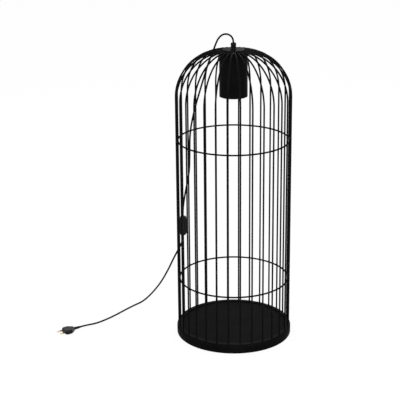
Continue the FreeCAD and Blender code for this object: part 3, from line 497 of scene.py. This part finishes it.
def make_finishes(colours):
    """Every finish that the lamp uses."""
    f = Finishes()
    coat, coat_light = opaque(colours.coat), opaque(colours.coat, 2.0)
    plastic, plastic_light = opaque(colours.plastic), opaque(colours.plastic, 1.7)
    f.make("powder_coat", coat, coat_light, grain=0.0009, patch=0.06, smooth=0.34, rough=0.46,
           bump=0.22, scuff=0.12, scuff_colour=grey(0.01), dust=0.02, Specular_IOR_Level=0.01)
    f.make("powder_coat_base", coat, coat_light, grain=0.001, patch=0.09, smooth=0.42, rough=0.56,
           bump=0.25, bump_distance=0.00025, scuff=0.16, scuff_colour=grey(0.013),
           stretch=(0.3, 0.3, 1.0), dust=0.02, Specular_IOR_Level=0.005)
    f.make("primer", (0.045, 0.045, 0.047, 1), grey(0.07), grain=0.0015, smooth=0.55, rough=0.75,
           bump=0.2, scuff=0.3, scuff_colour=grey(0.14))
    f.make("zinc", (0.5, 0.51, 0.53, 1), (0.66, 0.67, 0.69, 1), grain=0.0006, patch=0.01,
           smooth=0.25, rough=0.42, bump=0.12, scuff=0.25, scuff_colour=(0.3, 0.3, 0.31, 1),
           Metallic=1.0)
    f.make("brass", opaque(colours.brass), opaque(colours.brass, 1.15), grain=0.0007, patch=0.008,
           smooth=0.2, rough=0.36, bump=0.08, scuff=0.25, scuff_colour=(0.32, 0.21, 0.09, 1),
           Metallic=1.0)
    f.make("felt", (0.02, 0.02, 0.021, 1), grey(0.07), grain=0.0004, patch=0.004, smooth=0.9,
           rough=1.0, bump=0.8, bump_distance=0.0006, stretch_grain=(1, 1, 0.4), Sheen_Weight=0.3)
    f.make("moulded_plastic", plastic, plastic_light, grain=0.0005, patch=0.02, smooth=0.42,
           rough=0.52, bump=0.12, scuff=0.12, scuff_colour=grey(0.02), dust=0.03,
           Specular_IOR_Level=0.08)
    f.make("switch_plastic", plastic, plastic_light, grain=0.0004, patch=0.02, smooth=0.26,
           rough=0.38, bump=0.06, scuff=0.16, scuff_colour=grey(0.02), Specular_IOR_Level=0.15)
    f.make("rocker_plastic", plastic, plastic_light, grain=0.0004, patch=0.01, smooth=0.16,
           rough=0.28, bump=0.04, scuff=0.1, scuff_colour=grey(0.02), Specular_IOR_Level=0.25)
    f.make("ceramic", (0.78, 0.76, 0.71, 1), (0.86, 0.85, 0.81, 1), grain=0.0006, patch=0.01,
           smooth=0.35, rough=0.55, scuff=0.15, scuff_colour=(0.6, 0.57, 0.5, 1))
    f.make("cord_sheath", plastic, plastic_light, grain=0.0007, patch=0.03, smooth=0.4, rough=0.52,
           bump=0.14, scuff=0.2, scuff_colour=grey(0.015), dust=0.02, Specular_IOR_Level=0.05)
    f.make("lead_brown", (0.16, 0.06, 0.025, 1), (0.22, 0.09, 0.04, 1), patch=0.006, smooth=0.3,
           rough=0.45)
    f.make("cap_metal", grey(0.62), grey(0.74), grain=0.0005, patch=0.006, smooth=0.22, rough=0.38,
           bump=0.08, scuff=0.3, scuff_colour=grey(0.4), Metallic=1.0)
    f.make("bead_glass", (0.015, 0.015, 0.02, 1), (0.03, 0.03, 0.035, 1), patch=0.004, smooth=0.08,
           rough=0.16, bump=0.03)
    f.make("opal_glass", (0.86, 0.85, 0.82, 1), (0.92, 0.91, 0.89, 1), grain=0.0006, patch=0.02,
           smooth=0.12, rough=0.2, bump=0.02, Transmission_Weight=0.35, IOR=1.5)
    return f


# ---------------------------------------------------------------- sizes and colours to change
class LampSizes(bpy.types.PropertyGroup):
    """Sizes that the looks add to the model."""

    wire_radius: bpy.props.FloatProperty(
        name="Wire radius", description="Half the thickness of the cage's wires", default=2.5 * MM,
        unit="LENGTH")
    wire_count: bpy.props.IntProperty(
        name="Wires", description="How many wires stand round the cage", default=30, min=3)
    first_wire_angle: bpy.props.FloatProperty(
        name="First wire", description="Angle of the first wire from the front",
        default=math.radians(7.0), subtype="ANGLE")
    bend_radius: bpy.props.FloatProperty(
        name="Bend radius", description="Radius of the quarter bend at the top of each wire",
        default=139.5 * MM, unit="LENGTH")
    bead_radius: bpy.props.FloatProperty(
        name="Weld bead", description="Size of the weld bead where a wire meets a hoop",
        default=2.3 * MM, unit="LENGTH")
    cord_radius: bpy.props.FloatProperty(
        name="Cord radius", description="Half the thickness of the cord", default=2.7 * MM,
        unit="LENGTH")


class LampColours(bpy.types.PropertyGroup):
    """Colours of the main finishes."""

    coat: bpy.props.FloatVectorProperty(
        name="Powder coat", description="Colour of the coated steel",
        default=(0.0028, 0.0028, 0.003), subtype="COLOR", min=0.0, max=1.0)
    plastic: bpy.props.FloatVectorProperty(
        name="Plastic", description="Colour of the cord, the switch and the plug",
        default=(0.0035, 0.0035, 0.0037), subtype="COLOR", min=0.0, max=1.0)
    brass: bpy.props.FloatVectorProperty(
        name="Brass", description="Colour of the contacts", default=(0.62, 0.44, 0.19),
        subtype="COLOR", min=0.0, max=1.0)


class LampStage(bpy.types.PropertyGroup):
    """The studio round the lamp."""

    backdrop: bpy.props.FloatVectorProperty(
        name="Backdrop", description="Colour of the floor", default=(0.9, 0.9, 0.9),
        subtype="COLOR", min=0.0, max=1.0)
    whiteness: bpy.props.FloatProperty(
        name="Whiteness", description="How far the floor is white to the camera", default=0.94,
        min=0.0, max=1.0)
    world_light: bpy.props.FloatProperty(
        name="World light", description="Strength of the light from all round", default=0.85,
        min=0.0)
    key_power: bpy.props.FloatProperty(
        name="Key light", description="Power of the large soft light", default=55.0, unit="POWER")
    fill_power: bpy.props.FloatProperty(
        name="Fill light", description="Power of each of the two softer lights", default=22.0,
        unit="POWER")
    lens: bpy.props.FloatProperty(
        name="Lens", description="Focal length of the camera", default=113.3,
        subtype="DISTANCE_CAMERA")


FINISH = {}


def finishes():
    """The shared finishes, made on first use."""
    if not FINISH:
        FINISH["set"] = make_finishes(bpy.context.scene.lamp_colours)
    return FINISH["set"]


# ---------------------------------------------------------------- operators
class LAMP_OT_cage(bpy.types.Operator):
    """Builds the wires, the two hoops and the foot ring of the cage"""
    bl_idname = "lamp.cage"
    bl_label = "Cage"

    def execute(self, context):
        sizes = context.scene.lamp_sizes
        coat = finishes()["powder_coat"]
        foot, high = node_size("cage_wires")[1:]
        circle = node_size("cage_foot_ring")[0] - sizes.wire_radius
        wire_end = 28.0 * MM
        wires = grown_piece("wires", tree_cage_wires(), {
            "Count": sizes.wire_count, "First angle": sizes.first_wire_angle,
            "Circle radius": circle, "Foot height": foot, "Top height": high - sizes.wire_radius,
            "End radius": wire_end, "Bend radius": sizes.bend_radius,
            "Wire radius": sizes.wire_radius, "Material": coat})
        finish(wires, coat, instead_of=["cage_wires"])
        hoops = tree_hoop()
        for name in ("cage_ring_upper", "cage_ring_lower"):
            reach, low, top = node_size(name)
            hoop = grown_piece(name.replace("cage_ring", "hoop"), hoops, {
                "Radius": reach - sizes.wire_radius, "Height": (low + top) / 2,
                "Wire radius": sizes.wire_radius, "Count": sizes.wire_count,
                "First angle": sizes.first_wire_angle, "Bead radius": sizes.bead_radius,
                "Bead circle": reach, "Material": coat})
            finish(hoop, coat, instead_of=[name])
        self.build_foot_ring(coat)
        return {"FINISHED"}

    def build_foot_ring(self, coat):
        """The flat ring under the wires, its edges rounded by the coat, and the wires' welds."""
        sizes = bpy.context.scene.lamp_sizes
        wire = sizes.wire_radius
        outer, low, top = node_size("cage_foot_ring")
        width, edge = 12.0 * MM, 0.5 * MM
        inner = outer - width
        bm = bmesh.new()
        lathe(bm, [(inner, low), (outer, low), *arc(outer - edge, top - edge, edge, 0, 90, 3),
                   *arc(inner + edge, top - edge, edge, 90, 180, 3)], segments=160)
        weld = [(wire + out * MM, up * MM) for out, up in WELD_SECTION]
        for n in range(sizes.wire_count):
            angle = math.degrees(sizes.first_wire_angle) + 360.0 * n / sizes.wire_count
            lathe(bm, weld, segments=14, origin=around(outer - wire, angle, top))
        for v in bm.verts:
            scale = min(1.0, outer / max(v.co.xy.length, outer))
            v.co.x *= scale
            v.co.y *= scale
        ring = add_mesh("foot_ring", bm, smooth_angle=40.0)
        finish(ring, coat, instead_of=["cage_foot_ring"])


class LAMP_OT_base(bpy.types.Operator):
    """Builds the base's pressed cover and felt pads, and dresses what the cover hides"""
    bl_idname = "lamp.base"
    bl_label = "Base"

    def execute(self, context):
        look = finishes()
        outer, low, top = node_size("base_cover")
        skin, edge = 1.5 * MM, 4.0 * MM
        top_rings = (0.8, 0.5, 0)  # where rings divide the flat top, as shares of its radius
        cover = turned_piece("base_shell", [
            (0, top - skin), (outer - edge, top - skin),
            *arc(outer - edge, top - edge, edge - skin, 90, 0, 6),
            *arc(outer - skin / 2, low + skin / 2, skin / 2, 180, 360, 6),
            *arc(outer - edge, top - edge, edge, 0, 90, 10),
            *[(outer * share, top) for share in top_rings]], segments=192)
        finish(cover, look["powder_coat_base"], instead_of=["base_cover"])
        dress(look["primer"], "base_bottom_plate", "base_weight", "base_pillars")
        dress(look["zinc"], "base_plate_screws", "cage_foot_screws")
        self.build_pads(look["felt"])
        return {"FINISHED"}

    def build_pads(self, felt):
        """Six felt pads with soft, slightly uneven edges."""
        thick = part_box("base_felt_pads")[1].z
        count, radius, circle = 6, 11.0 * MM, 150.0 * MM
        flat, low_edge, high_edge, unevenness = radius * 0.9, 0.5 * MM, 0.4 * MM, 0.008
        template = turned_piece("pad_template", [
            (0, 0), (flat, 0), *arc(radius - low_edge, low_edge, low_edge, -90, 0, 4),
            *arc(radius - high_edge, thick - high_edge, high_edge, 0, 90, 4), (0, thick)],
            segments=48)
        for v in template.data.vertices:
            angle = math.atan2(v.co.y, v.co.x)
            wave = 1 + unevenness * math.sin(9 * angle) * math.sin(4 * angle + 1)
            v.co.x *= wave
            v.co.y *= wave
            v.co.y -= circle
        pads = grown_piece("felt_pads", tree_around_axis(), {
            "Template": template, "Count": count, "Material": felt})
        bpy.data.objects.remove(template)
        finish(pads, felt, instead_of=["base_felt_pads"])


class LAMP_OT_head(bpy.types.Operator):
    """Builds the top plate, the cup and the cord grip, and dresses what clamps them"""
    bl_idname = "lamp.head"
    bl_label = "Top plate, cup and cord grip"

    def execute(self, context):
        look = finishes()
        self.build_plate(look["powder_coat"])
        self.build_cup(look["powder_coat"])
        self.build_grip(look["moulded_plastic"])
        dress(look["zinc"], "hub_washer", "hub_nut", "nipple", "cup_collar")
        dress(look["moulded_plastic"], "cord_grip_screw")
        dress(look["cord_sheath"], "cord_tail")
        return {"FINISHED"}

    def build_plate(self, coat):
        """The round plate that the wires end under."""
        outer, low, top = node_size("hub_plate")
        bore, low_edge, edge = 5.2 * MM, 0.3 * MM, 1.2 * MM
        plate = turned_piece("top_plate", [
            (bore, low), (outer - low_edge, low), (outer, low + low_edge),
            *arc(outer - edge, top - edge, edge, 0, 90, 6), (bore, top)], segments=96)
        finish(plate, coat, instead_of=["hub_plate"])

    def build_cup(self, coat):
        """The spun cup, with its rolled lip."""
        outer, low, top = node_size("shade_cup")
        wall, corner, bore = 1.2 * MM, 5.0 * MM, 5.2 * MM
        lip, lip_height = 0.6 * MM, 3.0 * MM
        cup = turned_piece("cup", [
            (bore, top), *arc(outer - corner, top - corner, corner, 90, 0, 10),
            (outer, low + lip_height), *arc(outer - lip, low + lip, lip, 0, -180, 8),
            (outer - wall, low + lip_height),
            *arc(outer - corner, top - corner, corner - wall, 0, 90, 10), (bore, top - wall)],
            segments=128)
        finish(cup, coat, instead_of=["shade_cup"])

    def build_grip(self, plastic):
        """The moulded cord grip, with shallow flutes for fingers."""
        low, top = node_size("cord_grip")[1:]
        bore, mouth, thread, thread_depth = 2.85 * MM, 0.5 * MM, 5.2 * MM, 9.0 * MM
        foot, head, head_height, rim = 7.4 * MM, 8.3 * MM, 5.0 * MM, 2.0 * MM
        grip = turned_piece("cord_grip_body", [
            (thread, low), *[(foot + out * MM, low + up * MM) for out, up in FLANGE_SECTION],
            (head, top - head_height), (head, top - rim),
            *arc(head - rim, top - rim, rim, 0, 90, 8), (bore + mouth, top), (bore, top - mouth),
            (bore, low + thread_depth), (thread, low + thread_depth)], segments=96)
        flutes, depth, nearest = 24, 0.35 * MM, foot - 0.2 * MM
        lowest, highest = low + 2.4 * MM, top - 2.1 * MM
        for v in grip.data.vertices:
            r = math.hypot(v.co.x, v.co.y)
            if r > nearest and lowest < v.co.z < highest:
                scale = 1 - depth / r * (0.5 + 0.5 * math.cos(flutes * math.atan2(v.co.y, v.co.x)))
                v.co.x *= scale
                v.co.y *= scale
        finish(grip, plastic, instead_of=["cord_grip"])


class LAMP_OT_lampholder(bpy.types.Operator):
    """Dresses the lampholder, its screw shell and contacts, and its leads"""
    bl_idname = "lamp.lampholder"
    bl_label = "Lampholder"

    def execute(self, context):
        look = finishes()
        dress(look["moulded_plastic"], "lampholder_cap", "lampholder_body")
        dress(look["ceramic"], "lampholder_insulator")
        dress(look["brass"], "lampholder_centre_contact", "lampholder_terminal_screws",
              "lampholder_screw_shell")
        dress(look["lead_brown"], "lampholder_leads")
        return {"FINISHED"}


class LAMP_OT_bulb(bpy.types.Operator):
    """Builds the bulb's opal glass, and dresses its cap, bead and contact"""
    bl_idname = "lamp.bulb"
    bl_label = "Bulb"

    def execute(self, context):
        look = finishes()
        dress(look["cap_metal"], "bulb_contact", "bulb_cap")
        dress(look["bead_glass"], "bulb_insulator")
        self.build_glass(look["opal_glass"])
        return {"FINISHED"}

    def build_glass(self, opal):
        """The envelope, a ball that runs smoothly into its neck."""
        ball, low, top = node_size("bulb_glass")
        neck, wall, centre = 13.4 * MM, 1.0 * MM, low + ball
        ball_end, ball_steps, neck_steps = 36, 30, 13
        outside = arc(0, centre, ball, -90, ball_end, ball_steps)
        inside = arc(0, centre, ball - wall, ball_end, -90, ball_steps)
        (start_r, start_z), (end_r, end_z) = outside[-1], (neck, top)
        to_ball, to_neck, hollow = 0.62, 0.38, 2.4 * MM
        mid_r, mid_z = start_r * to_ball + end_r * to_neck - hollow, (start_z + end_z) / 2
        curve = []
        for n in range(1, neck_steps):
            t = n / neck_steps
            at_start, at_mid, at_end = (1 - t) ** 2, 2 * t * (1 - t), t * t
            curve.append((at_start * start_r + at_mid * mid_r + at_end * end_r,
                          at_start * start_z + at_mid * mid_z + at_end * end_z))
        back = [(r - wall, z) for r, z in reversed(curve)]
        profile = outside + curve + [(neck, top), (neck - wall, top)] + back + inside
        profile[0], profile[-1] = (0, low), (0, low + wall)
        envelope = turned_piece("bulb_envelope", profile, segments=96, smooth_angle=60.0)
        finish(envelope, opal, instead_of=["bulb_glass"], body="bulb")


class LAMP_OT_cords(bpy.types.Operator):
    """Lays the two lengths of cord along their route"""
    bl_idname = "lamp.cords"
    bl_label = "Cord"

    def execute(self, context):
        upper = [around(d * MM, CORD_PLANE_ANGLE, z * MM) for d, z in UPPER_ROUTE]
        lower = [around(d * MM, CORD_PLANE_ANGLE, z * MM) for d, z in LOWER_ROUTE_IN_PLANE]
        lower += [Vector(p) * MM for p in LOWER_ROUTE]
        switch = [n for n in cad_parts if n.startswith("switch_")]
        plug = [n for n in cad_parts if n.startswith("plug_")]
        self.lay_cord("cord_to_switch", upper, UPPER_LENGTH, "object", switch + ["cord_tail"],
                      "cord_upper")
        self.lay_cord("cord_to_plug", lower, LOWER_LENGTH, "plug", plug, "cord_lower")
        return {"FINISHED"}

    def lay_cord(self, name, route, length, far_end, with_pieces, node):
        """One length of cord as a smooth curve through its route."""
        radius = bpy.context.scene.lamp_sizes.cord_radius
        line = bpy.data.curves.new(name, "CURVE")
        line.dimensions = "3D"
        line.bevel_depth = radius
        line.bevel_resolution = 6
        line.resolution_u = 16
        line.use_fill_caps = True
        spline = line.splines.new("NURBS")
        spline.points.add(len(route) - 1)
        for point, place in zip(spline.points, route):
            point.co = (*place, 1.0)
        spline.order_u = 3
        spline.use_endpoint_u = True
        piece = bpy.data.objects.new(name, line)
        bpy.context.scene.collection.objects.link(piece)
        finish(piece, finishes()["cord_sheath"], instead_of=[node])


class LAMP_OT_switch(bpy.types.Operator):
    """Dresses the in-line switch and its rocker"""
    bl_idname = "lamp.switch"
    bl_label = "Switch"

    def execute(self, context):
        look = finishes()
        dress(look["switch_plastic"], "switch_back_shell", "switch_front_shell")
        dress(look["rocker_plastic"], "switch_rocker")
        dress(look["zinc"], "switch_housing_screws")
        dress(look["brass"], "switch_terminals", "switch_terminal_screws")
        return {"FINISHED"}


class LAMP_OT_plug(bpy.types.Operator):
    """Dresses the plug, its pins and their sleeves"""
    bl_idname = "lamp.plug"
    bl_label = "Plug"

    def execute(self, context):
        look = finishes()
        dress(look["switch_plastic"], "plug_body")
        dress(look["brass"], "plug_pins")
        dress(look["moulded_plastic"], "plug_pin_sleeves")
        return {"FINISHED"}


class LAMP_OT_stage(bpy.types.Operator):
    """Sets the floor, the lights and the camera"""
    bl_idname = "lamp.stage"
    bl_label = "Studio"

    def execute(self, context):
        stage = context.scene.lamp_stage
        self.build_floor(stage)
        self.build_world(stage)
        for name, place, looks_at_height, size, power in (
                ("key", (-1.7, -2.1, 2.9), 0.5, 2.0, stage.key_power),
                ("fill", (2.3, -1.4, 1.9), 0.45, 2.4, stage.fill_power),
                ("rim", (0.8, 2.4, 2.2), 0.6, 1.6, stage.fill_power)):
            self.add_light(name, Vector(place), Vector((0, 0, looks_at_height)), size, power)
        self.add_camera(stage)
        context.scene.view_settings.view_transform = "Standard"
        return {"FINISHED"}

    def build_floor(self, stage):
        """A wide pale floor that shows white to the camera apart from the lamp's shadow."""
        bm = bmesh.new()
        bmesh.ops.create_grid(bm, x_segments=1, y_segments=1, size=14.0)
        floor = add_mesh("floor", bm, recalc=False)
        material = bpy.data.materials.new("floor_paper")
        material.use_nodes = True
        tree = material.node_tree
        surface = tree.nodes["Principled BSDF"]
        surface.inputs["Roughness"].default_value = 0.9
        place = add_node(tree, "ShaderNodeTexCoord").outputs["Object"]
        fibre = add_node(tree, "ShaderNodeTexNoise", {
            "Vector": place, "Scale": 30.0, "Detail": 3.0}).outputs[0]
        tone = mix_colours(tree, fibre, opaque(stage.backdrop), opaque(stage.backdrop, 0.985))
        tree.links.new(tone, surface.inputs["Base Color"])
        seen = add_node(tree, "ShaderNodeMath", {0: seen_directly(tree), 1: stage.whiteness},
                        operation="MULTIPLY").outputs[0]
        white = add_node(tree, "ShaderNodeEmission", {0: WHITE, 1: 1.0}).outputs[0]
        mix = add_node(tree, "ShaderNodeMixShader", {0: seen, 1: surface.outputs[0], 2: white})
        tree.links.new(mix.outputs[0], tree.nodes["Material Output"].inputs[0])
        floor.data.materials.append(material)

    def build_world(self, stage):
        """White to the camera and to reflections, softer as a light."""
        world = bpy.data.worlds.new("studio")
        bpy.context.scene.world = world
        world.use_nodes = True
        tree = world.node_tree
        soft = tree.nodes["Background"]
        soft.inputs[0].default_value = WHITE
        soft.inputs[1].default_value = stage.world_light
        white = add_node(tree, "ShaderNodeBackground", {0: WHITE, 1: 1.0})
        mix = add_node(tree, "ShaderNodeMixShader", {
            0: seen_directly(tree), 1: soft.outputs[0], 2: white.outputs[0]})
        tree.links.new(mix.outputs[0], tree.nodes["World Output"].inputs[0])

    def add_light(self, name, place, target, size, power):
        """A large square light that looks at a point."""
        lamp = bpy.data.lights.new(name, "AREA")
        lamp.size = size
        lamp.energy = power
        light = bpy.data.objects.new(name, lamp)
        light.location = place
        light.rotation_euler = (target - place).to_track_quat("-Z", "Y").to_euler()
        bpy.context.scene.collection.objects.link(light)

    def add_camera(self, stage):
        """The photograph's view: from the front, above the lamp, looking down on it."""
        camera = bpy.data.objects.new("camera", bpy.data.cameras.new("camera"))
        camera.data.lens = stage.lens
        camera.data.sensor_width = 36.0
        camera.location = (0.024, -3.649, 1.670)
        yaw, pitch, roll = math.radians(1.99), math.radians(18.71), math.radians(-0.57)
        turn = Matrix.Rotation(yaw, 3, "Z") @ Matrix.Rotation(math.radians(90) - pitch, 3, "X")
        turn = turn @ Matrix.Rotation(roll, 3, "Z")
        camera.rotation_euler = turn.to_euler()
        camera.data.clip_end = 100.0
        bpy.context.scene.collection.objects.link(camera)
        bpy.context.scene.camera = camera


class LAMP_PT_panel(bpy.types.Panel):
    """The lamp's pieces and sizes"""
    bl_label = "Wire Cage Floor Lamp"
    bl_idname = "LAMP_PT_panel"
    bl_space_type = "VIEW_3D"
    bl_region_type = "UI"
    bl_category = "Lamp"

    def draw(self, context):
        layout = self.layout
        scene = context.scene
        for group in (scene.lamp_sizes, scene.lamp_colours, scene.lamp_stage):
            box = layout.box()
            for name in group.bl_rna.properties.keys():
                if name not in ("rna_type", "name"):
                    box.prop(group, name)
        for operator in OPERATORS:
            layout.operator(operator.bl_idname)


OPERATORS = (LAMP_OT_cage, LAMP_OT_base, LAMP_OT_head, LAMP_OT_lampholder, LAMP_OT_bulb,
             LAMP_OT_cords, LAMP_OT_switch, LAMP_OT_plug, LAMP_OT_stage)
CLASSES = (LampSizes, LampColours, LampStage, *OPERATORS, LAMP_PT_panel)


def register():
    """Adds the add-on's classes and settings."""
    for cls in CLASSES:
        bpy.utils.register_class(cls)
    bpy.types.Scene.lamp_sizes = bpy.props.PointerProperty(type=LampSizes)
    bpy.types.Scene.lamp_colours = bpy.props.PointerProperty(type=LampColours)
    bpy.types.Scene.lamp_stage = bpy.props.PointerProperty(type=LampStage)


def unregister():
    """Takes the add-on's classes and settings away."""
    del bpy.types.Scene.lamp_stage
    del bpy.types.Scene.lamp_colours
    del bpy.types.Scene.lamp_sizes
    for cls in reversed(CLASSES):
        bpy.utils.unregister_class(cls)


def main():
    """Builds the lamp and its studio."""
    register()
    for operator in OPERATORS:
        category, name = operator.bl_idname.split(".")
        getattr(getattr(bpy.ops, category), name)()


if __name__ == "__main__":
    main()
